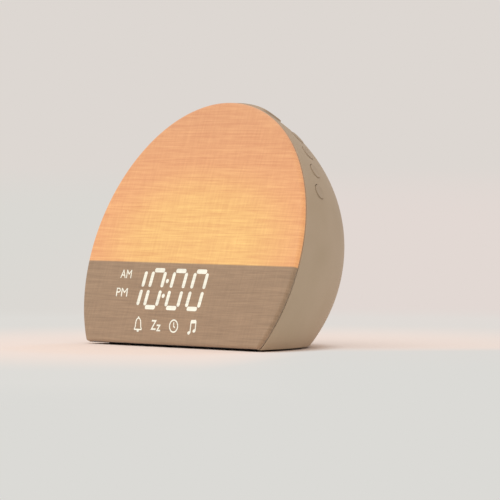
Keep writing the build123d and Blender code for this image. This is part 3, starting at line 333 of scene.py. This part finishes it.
def lettering(shape, word, lean, weight, left, right, low, high):
    """Plain letters, made a mesh and fitted to their lit window."""
    curve = bpy.data.curves.new("letters_" + word, "FONT")
    curve.body = word
    curve.extrude = LETTER_DEPTH
    curve.offset = weight
    curve.shear = lean
    written = bpy.data.objects.new("letters_" + word, curve)
    scene.collection.objects.link(written)
    bpy.context.view_layer.update()
    flat = bpy.data.meshes.new_from_object(written)
    bpy.data.objects.remove(written)
    old = set(shape.verts)
    shape.from_mesh(flat)
    new = [v for v in shape.verts if v not in old]
    low_x, high_x = min(v.co.x for v in new), max(v.co.x for v in new)
    low_y, high_y = min(v.co.y for v in new), max(v.co.y for v in new)
    wide, tall = (right - left) / (high_x - low_x), (high - low) / (high_y - low_y)
    place = Matrix.Translation((left - low_x * wide, low - low_y * tall, SIGN_FACE))
    bmesh.ops.transform(shape, verts=new,
                        matrix=place @ Matrix.Diagonal((wide, tall, SIGN_THICK / (2 * LETTER_DEPTH), 1)))


def stroke(shape, points, width, closed=False, smooth=True):
    """A line of even width through a few points, rounded where smooth."""
    curve = bpy.data.curves.new("stroke", "CURVE")
    curve.dimensions = "3D"
    curve.bevel_depth = width / 2
    curve.bevel_resolution = 2
    curve.use_fill_caps = True
    line = curve.splines.new("NURBS" if smooth else "POLY")
    line.points.add(len(points) - 1)
    for knot, (across, up) in zip(line.points, points):
        knot.co = (across, up, 0, 1)
    line.use_cyclic_u = closed
    if smooth:
        line.order_u = 3
        line.use_endpoint_u = not closed
        line.resolution_u = 6
    drawn = bpy.data.objects.new("stroke", curve)
    scene.collection.objects.link(drawn)
    bpy.context.view_layer.update()
    flat = bpy.data.meshes.new_from_object(drawn)
    bpy.data.objects.remove(drawn)
    old = set(shape.verts)
    shape.from_mesh(flat)
    bmesh.ops.transform(shape, verts=[v for v in shape.verts if v not in old],
                        matrix=Matrix.Translation((0, 0, SIGN_FACE)) @ Matrix.Diagonal((1, 1, SIGN_THICK / width, 1)))


def blot(shape, across, up, wide, tall, turn=0):
    """A small filled oval."""
    place = (Matrix.Translation((across, up, SIGN_FACE)) @ Matrix.Rotation(turn, 4, "Z")
             @ Matrix.Diagonal((wide / 2, tall / 2, 1, 1)))
    bmesh.ops.create_circle(shape, cap_ends=True, segments=ROUND_POINTS, radius=1, matrix=place)


HALFDAY_LEAN = -0.13
halfday = bmesh.new()
lettering(halfday, "AM", HALFDAY_LEAN, 0, -0.0538, -0.0448, 0.0353, 0.0400)
lettering(halfday, "PM", HALFDAY_LEAN, 0, -0.0545, -0.0445, 0.0251, 0.0298)
bmesh.ops.transform(halfday, verts=halfday.verts[:], matrix=front)
lit_halfday = finished(halfday, "lit_halfday_letters", lit_linen, "case", smooth=False)

# The signs lean to the left by a quarter of their height, and are drawn upright first.
signs = bmesh.new()
SIGN_LEAN = 0.26
SIGN_UP = 0.0100
SIGN_LINE = 0.0008
# Bell: a dome that flares to its lip, with the clapper under it
BELL = -0.0296
BELL_LIP = 0.0031
BELL_LINE = 0.0007
stroke(signs, [(BELL + across, up) for across, up in (
    (-BELL_LIP, 0.0074), (-0.0023, 0.0083), (-0.0021, 0.0105), (-0.0018, 0.0126), (0, 0.0139),
    (0.0018, 0.0126), (0.0021, 0.0105), (0.0023, 0.0083), (BELL_LIP, 0.0074))], BELL_LINE)
stroke(signs, [(BELL - BELL_LIP, 0.0073), (BELL + BELL_LIP, 0.0073)], BELL_LINE, smooth=False)
blot(signs, BELL, 0.0066, 0.0020, 0.0013)
blot(signs, BELL, 0.0140, 0.0012, 0.0010)
# Dial with its hands
DIAL = -0.0003
DIAL_RADIUS = 0.0034
stroke(signs, [(DIAL + DIAL_RADIUS * cos(turn * pi / 6), SIGN_UP + DIAL_RADIUS * sin(turn * pi / 6))
               for turn in range(12)], SIGN_LINE, closed=True)
stroke(signs, [(DIAL, 0.0121), (DIAL, 0.0098), (DIAL + 0.0012, 0.0092)], SIGN_LINE, smooth=False)
# Pair of notes under one beam
BEAM = 0.0019
NOTE_HEAD = (0.0024, 0.0018, 0.4)           # its width, height and turn
stroke(signs, [(0.0138, 0.0128), (0.0177, 0.0130)], BEAM, smooth=False)
stroke(signs, [(0.0138, 0.0132), (0.0133, 0.0068)], SIGN_LINE, smooth=False)
stroke(signs, [(0.0177, 0.0134), (0.0174, 0.0080)], SIGN_LINE, smooth=False)
blot(signs, 0.0124, 0.0067, *NOTE_HEAD)
blot(signs, 0.0166, 0.0079, *NOTE_HEAD)
bmesh.ops.transform(signs, verts=signs.verts[:], matrix=Matrix(
    ((1, -SIGN_LEAN, 0, SIGN_LEAN * SIGN_UP), (0, 1, 0, 0), (0, 0, 1, 0), (0, 0, 0, 1))))
# Sleep sign: a large and a small letter, bolder than the others
SLEEP_LEAN, SLEEP_WEIGHT = -0.2, 0.015
lettering(signs, "Z", SLEEP_LEAN, SLEEP_WEIGHT, -0.0191, -0.0143, 0.0074, 0.0129)
lettering(signs, "z", SLEEP_LEAN, SLEEP_WEIGHT, -0.0143, -0.0103, 0.0068, 0.0105)
bmesh.ops.transform(signs, verts=signs.verts[:], matrix=front)
lit_signs = finished(signs, "lit_signs", lit_linen, "case", smooth=False)

# Front frame, light box and display block
# White mouldings behind the cloth: the frame holds the panes, and the box and block keep each light to its place.
# They are polycarbonate loaded with white, which throws the light back, and snap or screw together.
white_pc = grained("moulded_polycarbonate_white", "#F0EEE8", "#E9E6DE", 0.0005, 0.00001,
                   {"Roughness": 0.4, "IOR": 1.58, "Subsurface Weight": 0.05})
dress(white_pc, "front_frame", "light_box", "display_block")

# Panes and light inserts
# The diffuser is opal acrylic, the display window is smoked acrylic, and the inserts are clear acrylic bars.
# All are moulded and polished, and drop into the frame or the block.
opal = grained("opal_acrylic", "#F6F1E8", "#F1EADF", 0.0006, 0.000005,
               {"Roughness": 0.25, "IOR": 1.49, "Transmission Weight": 0.3, "Subsurface Weight": 0.3})
dress(opal, "light_diffuser")
smoked = grained("smoked_acrylic", "#4A4643", "#403C3A", 0.0006, 0.000004,
                 {"Roughness": 0.12, "IOR": 1.49, "Transmission Weight": 0.7})
dress(smoked, "display_window")
clear = grained("clear_acrylic", "#F2F4F2", "#EAEEEC", 0.0005, 0.000004,
                {"Roughness": 0.08, "IOR": 1.49, "Transmission Weight": 0.85})
dress(clear, "display_segments", "display_signs")


# Circuit boards
# Glass and epoxy laminate under green lacquer, with copper tracks that show through it as paler lines.
# They were cut from a panel, and each is screwed to its bosses.
board = finish_for("glass_epoxy_green_lacquer", {"Roughness": 0.35, "IOR": 1.55, "Coat Weight": 0.4,
                                                 "Coat Roughness": 0.2})
board_place = add(board, "TexCoord").outputs["Object"]
# Tracks run 1.6 mm apart, with a cross track every 6.4 mm.
tracks = add(board, "TexBrick",
             {"Scale": 1, "Mortar Size": 0.0004, "Brick Width": 0.0064, "Row Height": 0.0016,
              "Color1": linear("#2F6B45"), "Color2": linear("#2A6340"), "Mortar": linear("#5F9A64")},
             {"Vector": board_place})
LAMINATE_CLOUD = 0.004                      # the laminate is cloudy over this length
cloudy = add(board, "TexNoise", {"Scale": 1 / LAMINATE_CLOUD, "Detail": 3}, {"Vector": board_place})
cloud_tone = add(board, "MapRange", {"To Min": 0.85, "To Max": 1.12}, {"Value": cloudy.outputs["Fac"]})
board_colour = add(board, "VectorMath", {"operation": "SCALE"},
                   {0: tracks.outputs["Color"], "Scale": cloud_tone.outputs[0]})
track_relief = add(board, "Bump", {"Strength": 0.4, "Distance": 0.00004}, {"Height": tracks.outputs["Fac"]})
connect(board, {"Base Color": board_colour.outputs[0], "Normal": track_relief.outputs[0]})
dress(board, "led_board", "display_board", "pad_board", "main_board")

# Flexible circuits behind the side buttons
# Polyimide film, clear amber, with copper tracks that run along it. It is glued to its carrier.
film = finish_for("polyimide_film_amber", {"Roughness": 0.3, "IOR": 1.7, "Coat Weight": 0.3, "Coat Roughness": 0.15})
film_place = add(film, "TexCoord").outputs["Object"]
FILM_TRACK = 0.001                          # tracks are 1 mm apart
film_tracks = add(film, "TexWave", {"bands_direction": "Y", "Scale": WAVE / FILM_TRACK, "Distortion": 0.4},
                  {"Vector": film_place})
film_step = add(film, "MapRange", {"From Min": 0.45, "From Max": 0.55}, {"Value": film_tracks.outputs["Fac"]})
film_colour = add(film, "Mix", {"data_type": "RGBA", 6: linear("#A0622A"), 7: linear("#C58344")},
                  {0: film_step.outputs[0]})
film_relief = add(film, "Bump", {"Strength": 0.3, "Distance": 0.00003}, {"Height": film_step.outputs[0]})
connect(film, {"Base Color": film_colour.outputs[2], "Normal": film_relief.outputs[0]})
dress(film, "left_flex", "right_flex")

# Light-emitting chips
# Small ceramic packages filled with phosphor gel, warm yellow where the light comes out.
phosphor = grained("phosphor_gel_package", "#F4DFA0", "#ECD188", 0.0004, 0.000005,
                   {"Roughness": 0.3, "IOR": 1.5, "Subsurface Weight": 0.2})
dress(phosphor, "lamp_leds", "display_chips")

# Chips, switches and socket
# Black epoxy and glass-filled nylon mouldings, soldered to their boards.
black_epoxy = grained("moulded_epoxy_black", "#232324", "#1D1D1F", 0.0003, 0.000012,
                      {"Roughness": 0.48, "IOR": 1.55})
dress(black_epoxy, "board_chips", "pad_switches", "left_switches", "right_switches", "power_socket", "cell_cup")

# Carriers and base plate
# Dark grey ABS, moulded in a plain tool. The carriers hold the flexible circuits, and the plate closes the clock.
dark_abs = grained("moulded_abs_dark_grey", "#3B3733", "#35312E", 0.0004, 0.00002,
                   {"Roughness": 0.55, "IOR": 1.53})
dress(dark_abs, "left_carrier", "right_carrier", "base_plate")


# Screws, cell and speaker basket
# Steel: the screws are zinc plated, the cell's can is stainless, and the basket is pressed and painted black.
LINE_LENGTH = 12                            # a drawn line is this many times as long as the lines are apart


def brushed(name, pale, deep, pitch, values):
    """Metal with fine lines from drawing or turning, which scatter the light unevenly."""
    finish = finish_for(name, {"Metallic": 1, **values})
    place = add(finish, "TexCoord").outputs["Object"]
    stretched = add(finish, "VectorMath",
                    {"operation": "MULTIPLY", 1: (1 / (LINE_LENGTH * pitch), 1 / pitch, 1 / pitch)}, {0: place})
    lines = add(finish, "TexNoise", {"Scale": 1, "Detail": 3}, {"Vector": stretched.outputs[0]})
    tone = add(finish, "Mix", {"data_type": "RGBA", 6: linear(deep), 7: linear(pale)}, {0: lines.outputs["Fac"]})
    plain = values["Roughness"]
    dull = add(finish, "MapRange", {"To Min": plain - 0.08, "To Max": plain + 0.12}, {"Value": lines.outputs["Fac"]})
    scratches = add(finish, "Bump", {"Strength": 0.25, "Distance": 0.00001}, {"Height": lines.outputs["Fac"]})
    connect(finish, {"Base Color": tone.outputs[2], "Roughness": dull.outputs[0], "Normal": scratches.outputs[0]})
    return finish


zinc = brushed("zinc_plated_steel", "#C9CACB", "#AEB0B3", 0.0003, {"Roughness": 0.32})
dress(zinc, *(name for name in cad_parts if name.endswith("_screws")))
stainless = brushed("stainless_steel_can", "#D2D1CE", "#B9B8B5", 0.0002, {"Roughness": 0.25})
dress(stainless, "backup_cell")
brass = brushed("nickel_plated_brass", "#D8CFAE", "#C2B68E", 0.0002, {"Roughness": 0.22})
dress(brass, "socket_pin")
painted_steel = grained("pressed_steel_black_paint", "#2B2B2C", "#242425", 0.0005, 0.00001,
                        {"Roughness": 0.38, "IOR": 1.5, "Coat Weight": 0.3, "Coat Roughness": 0.3})
dress(painted_steel, "speaker_basket")

# Speaker cone, gasket and magnet
# The cone is pressed paper pulp, the gasket is closed-cell foam, and the magnet is a fired ferrite ring.
# All three are glued to the basket.
paper = grained("pressed_paper_pulp", "#35322F", "#2A2826", 0.0008, 0.00006, {"Roughness": 0.85, "IOR": 1.5})
dress(paper, "speaker_cone")
foam = grained("closed_cell_foam", "#2E2E30", "#252527", 0.0006, 0.00008, {"Roughness": 0.95, "IOR": 1.5})
dress(foam, "speaker_gasket")
ferrite = grained("fired_ferrite", "#3A3A3E", "#303034", 0.0004, 0.00002, {"Roughness": 0.5, "IOR": 2.0})
dress(ferrite, "speaker_magnet")

# Resting pad
# A sheet of dark silicone rubber let into the base plate, so that the clock does not slide.
rubber = grained("silicone_rubber_dark", "#2A2725", "#24211F", 0.0005, 0.00003,
                 {"Roughness": 0.8, "IOR": 1.43, "Specular IOR Level": 0.3})
dress(rubber, "base_pad")

# Table and air
# A pale plain table that runs out into an equally pale background, with the lamp's warm glow painted on it round the
# clock.
AHEAD = (0.7557, -0.6549, 0)                # level directions: from the clock to the lens, and to its right
ACROSS = (0.6549, 0.7557, 0)
TABLE_RADIUS = 12
FOOT_HALF = (0.0714, 0.0806)                # the foot is the rear half of an oval, and its middle is at FOOT_FRONT
FOOT_FRONT = -0.041
table_tone = bpy.data.materials.new("plain_pale_table")
table_tone.use_nodes = True
table_tone.node_tree.nodes.clear()
table_place = add(table_tone, "TexCoord").outputs["Object"]
apart = add(table_tone, "VectorMath", {"operation": "LENGTH"}, {0: table_place})
# Painted light: close to the clock the table's colour turns pink, for the lamp's glow that falls on it.
close = add(table_tone, "MapRange", {"interpolation_type": "SMOOTHSTEP", "From Min": 0.09, "From Max": 0.32,
                                     "To Min": 1, "To Max": 0}, {"Value": apart.outputs["Value"]})
table_colour = add(table_tone, "Mix", {"data_type": "RGBA", 6: linear("#E3E2DE"), 7: linear("#F5E5DB")},
                   {0: close.outputs[0]})
lit_table = add(table_tone, "BsdfDiffuse", {}, {"Color": table_colour.outputs[2]})
# Further off the table and the air run together: neutral on the left and ahead, warmer on the right.
ahead = add(table_tone, "VectorMath", {"operation": "DOT_PRODUCT", 1: AHEAD}, {0: table_place})
ahead_step = add(table_tone, "MapRange", {"interpolation_type": "SMOOTHSTEP", "From Min": -0.6, "From Max": 0.35},
                 {"Value": ahead.outputs["Value"]})
across = add(table_tone, "VectorMath", {"operation": "DOT_PRODUCT", 1: ACROSS}, {0: table_place})
across_step = add(table_tone, "MapRange", {"interpolation_type": "SMOOTHSTEP", "From Min": -0.22, "From Max": 0.12},
                  {"Value": across.outputs["Value"]})
fading = add(table_tone, "MapRange", {"interpolation_type": "SMOOTHSTEP", "From Min": 3, "From Max": 11},
             {"Value": apart.outputs["Value"]})
behind_colour = add(table_tone, "Mix", {"data_type": "RGBA", 6: linear("#DAD8D3"), 7: linear("#E2D8D3")},
                    {0: across_step.outputs[0]})
air_colour = add(table_tone, "Mix", {"data_type": "RGBA", 7: linear("#DDD7D2")},
                 {0: fading.outputs[0], 6: behind_colour.outputs[2]})
far_colour = add(table_tone, "Mix", {"data_type": "RGBA", 7: linear("#DBDAD6")},
                 {0: ahead_step.outputs[0], 6: air_colour.outputs[2]})
# The painted glow stops short on the near right, which the clock's own side keeps in the dark.
dim_across = add(table_tone, "MapRange", {"interpolation_type": "SMOOTHSTEP", "From Min": -0.02, "From Max": 0.05},
                 {"Value": across.outputs["Value"]})
dim_ahead = add(table_tone, "MapRange", {"interpolation_type": "SMOOTHSTEP", "From Min": 0.01, "From Max": 0.08},
                {"Value": ahead.outputs["Value"]})
dim = add(table_tone, "Math", {"operation": "MULTIPLY"}, {0: dim_across.outputs[0], 1: dim_ahead.outputs[0]})
painted_glow_share = add(table_tone, "Math", {"operation": "SUBTRACT", "use_clamp": True},
             {0: close.outputs[0], 1: dim.outputs[0]})
glow_colour = add(table_tone, "Mix", {"data_type": "RGBA", 7: linear("#F2E2D9")},
                  {0: painted_glow_share.outputs[0], 6: far_colour.outputs[2]})
far_table = add(table_tone, "Emission", {"Strength": 1}, {"Color": glow_colour.outputs[2]})
# Under the clock the table is plain; round the foot its glowing colour, painted light, thins out its shadow quickly.
foot_place = add(table_tone, "VectorMath",
                 {"operation": "MULTIPLY_ADD", 1: (1 / FOOT_HALF[0], 1 / FOOT_HALF[1], 0),
                  2: (0, -FOOT_FRONT / FOOT_HALF[1], 0)}, {0: table_place})
foot_apart = add(table_tone, "VectorMath", {"operation": "LENGTH"}, {0: foot_place.outputs[0]})
thin = add(table_tone, "MapRange", {"interpolation_type": "SMOOTHSTEP", "From Min": 0.98, "From Max": 1.25,
                                    "To Max": 0.5}, {"Value": foot_apart.outputs["Value"]})
away = add(table_tone, "MapRange", {"interpolation_type": "SMOOTHSTEP", "From Min": 0.22, "From Max": 0.60},
           {"Value": apart.outputs["Value"]})
beside = add(table_tone, "Math", {"operation": "MULTIPLY_ADD"},
             {0: thin.outputs[0], 1: dim.outputs[0], 2: thin.outputs[0]})
share = add(table_tone, "Math", {"operation": "MAXIMUM"}, {0: beside.outputs[0], 1: away.outputs[0]})
table_mix = add(table_tone, "MixShader", {}, {0: share.outputs[0], 1: lit_table.outputs[0], 2: far_table.outputs[0]})
add(table_tone, "OutputMaterial", {}, {"Surface": table_mix.outputs[0]})
table_shape = bmesh.new()
bmesh.ops.create_circle(table_shape, cap_ends=True, segments=96, radius=TABLE_RADIUS)
table_data = bpy.data.meshes.new("table")
table_shape.to_mesh(table_data)
table_shape.free()
table_data.materials.append(table_tone)
table = bpy.data.objects.new("table", table_data)
scene.collection.objects.link(table)

air = bpy.data.worlds.new("studio_air")
air.use_nodes = True
air.node_tree.nodes.clear()
seen = add(air, "LightPath")
seen_any = add(air, "Math", {"operation": "MAXIMUM"},
               {0: seen.outputs["Is Camera Ray"], 1: seen.outputs["Is Glossy Ray"]})
seen_all = add(air, "Math", {"operation": "MAXIMUM"},
               {0: seen_any.outputs[0], 1: seen.outputs["Is Transmission Ray"]})
soft_air = add(air, "Background", {"Color": linear("#FFFDFC"), "Strength": 0.72})
pale_air = add(air, "Background", {"Color": linear("#DDD7D2"), "Strength": 1})
air_mix = add(air, "MixShader", {}, {0: seen_all.outputs[0], 1: soft_air.outputs[0], 2: pale_air.outputs[0]})
add(air, "OutputWorld", {}, {"Surface": air_mix.outputs[0]})
scene.world = air

# Key light
# One very broad, soft light, high on the clock's front left.
KEY_FROM = (-0.25, -0.55, 0.8)
key = bpy.data.objects.new("key_light", bpy.data.lights.new("key_light", "SUN"))
key.data.energy = 1.0
key.data.angle = radians(80)
key.matrix_world = Vector(KEY_FROM).to_track_quat("Z", "Y").to_matrix().to_4x4()
scene.collection.objects.link(key)
